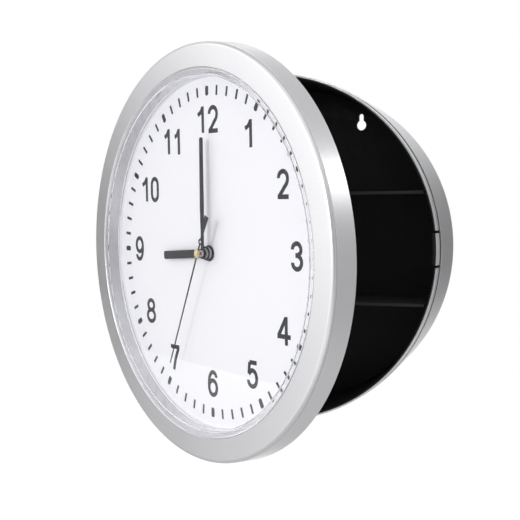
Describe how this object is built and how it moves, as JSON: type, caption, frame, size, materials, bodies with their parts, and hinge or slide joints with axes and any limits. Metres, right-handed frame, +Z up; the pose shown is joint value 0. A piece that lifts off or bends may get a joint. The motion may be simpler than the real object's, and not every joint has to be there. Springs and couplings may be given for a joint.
{
  "type": "clock diversion safe",
  "caption": "Round wall clock whose dial is a hinged door over a shallow shelved storage tub, with geared hands, shown with the door ajar.",
  "frame": {"origin": "centre of the tub's flat back, on the wall plane", "axes": "+Y into the wall, -Y out towards the viewer, +Z up, +X to the right as seen from the front"},
  "size_m": [0.2404, 0.1816, 0.2502],
  "materials": {
    "silver_paint": "satin silver paint on moulded plastic",
    "black_plastic": "satin black",
    "clear_plastic": "clear, polished",
    "white_dial": "matte white",
    "hand_metal": "dark grey paint",
    "brass": "polished",
    "steel": "plated",
    "natural_plastic": "uncoloured moulding",
    "battery_jacket": "plain blue jacket",
    "board": "green board",
    "copper": "enamelled copper wire"
  },
  "bodies": {
    "tub": {"tub_shell": "black_plastic", "tub_sleeve": "silver_paint", "upper_shelf": "black_plastic", "lower_shelf": "black_plastic", "hinge_bracket": "black_plastic", "hinge_pin": "steel", "hinge_screw_upper": "steel", "hinge_screw_lower": "steel", "latch_tongue": "silver_paint", "latch_screw_upper": "steel", "latch_screw_lower": "steel"},
    "door": {"bezel": "silver_paint", "lens": "clear_plastic", "dial": "white_dial", "dial_base": "black_plastic", "bezel_screw_1": "steel", "bezel_screw_2": "steel", "bezel_screw_3": "steel", "bezel_screw_4": "steel", "hinge_arm": "black_plastic", "arm_screw_upper": "steel", "arm_screw_lower": "steel", "latch_catch": "black_plastic", "catch_screw_upper": "steel", "catch_screw_lower": "steel", "bushing": "brass", "hand_washer": "black_plastic", "hex_nut": "steel", "case_front": "black_plastic", "case_cover": "black_plastic", "battery": "battery_jacket", "battery_contact_plus": "steel", "battery_contact_minus": "steel", "circuit_board": "board", "quartz_crystal": "steel", "coil_bobbin": "natural_plastic", "coil_winding": "copper", "stator": "steel"},
    "seconds": {"second_hand": "hand_metal", "second_cap": "brass", "second_wheel": "brass"},
    "minutes": {"minute_hand": "hand_metal", "minute_collet": "steel", "centre_wheel": "brass"},
    "hours": {"hour_hand": "hand_metal", "hour_wheel": "natural_plastic"},
    "third": {"third_wheel": "brass"},
    "setting": {"minute_wheel": "natural_plastic", "setting_knob": "natural_plastic"},
    "middle": {"middle_wheel": "natural_plastic"},
    "motor": {"rotor": "steel"}
  },
  "joints": [
    {"name": "door_hinge", "type": "hinge", "parent": "tub", "child": "door", "pos_m": [-0.103, -0.05719, 0], "axis": [0, 0, -1], "range_deg": [-29.3, 36]},
    {"name": "second_spin", "type": "hinge", "parent": "door", "child": "seconds", "pos_m": [-0.0153, -0.11138, 0], "axis": [0.4894, 0.8721, 0], "continuous": true},
    {"name": "minute_spin", "type": "hinge", "parent": "door", "child": "minutes", "pos_m": [-0.0153, -0.11138, 0], "axis": [0.4894, 0.8721, 0], "continuous": true},
    {"name": "hour_spin", "type": "hinge", "parent": "door", "child": "hours", "pos_m": [-0.0153, -0.11138, 0], "axis": [0.4894, 0.8721, 0], "continuous": true},
    {"name": "third_spin", "type": "hinge", "parent": "door", "child": "third", "pos_m": [-0.02228, -0.10747, 0.00926], "axis": [0.4894, 0.8721, 0], "continuous": true},
    {"name": "setting_spin", "type": "hinge", "parent": "door", "child": "setting", "pos_m": [-0.00442, -0.11749, 0], "axis": [0.4894, 0.8721, 0], "continuous": true},
    {"name": "middle_spin", "type": "hinge", "parent": "door", "child": "middle", "pos_m": [-0.00969, -0.11453, 0.00766], "axis": [0.4894, 0.8721, 0], "continuous": true},
    {"name": "motor_spin", "type": "hinge", "parent": "door", "child": "motor", "pos_m": [-0.00217, -0.11875, 0.0108], "axis": [0.4894, 0.8721, 0], "continuous": true}
  ],
  "couplings": [
    {"joint": "minute_spin", "follows": "second_spin", "ratio": 0.016667},
    {"joint": "hour_spin", "follows": "second_spin", "ratio": 0.0013889},
    {"joint": "third_spin", "follows": "second_spin", "ratio": -0.13333},
    {"joint": "setting_spin", "follows": "second_spin", "ratio": -0.0055556},
    {"joint": "middle_spin", "follows": "second_spin", "ratio": -4},
    {"joint": "motor_spin", "follows": "second_spin", "ratio": 30}
  ]
}
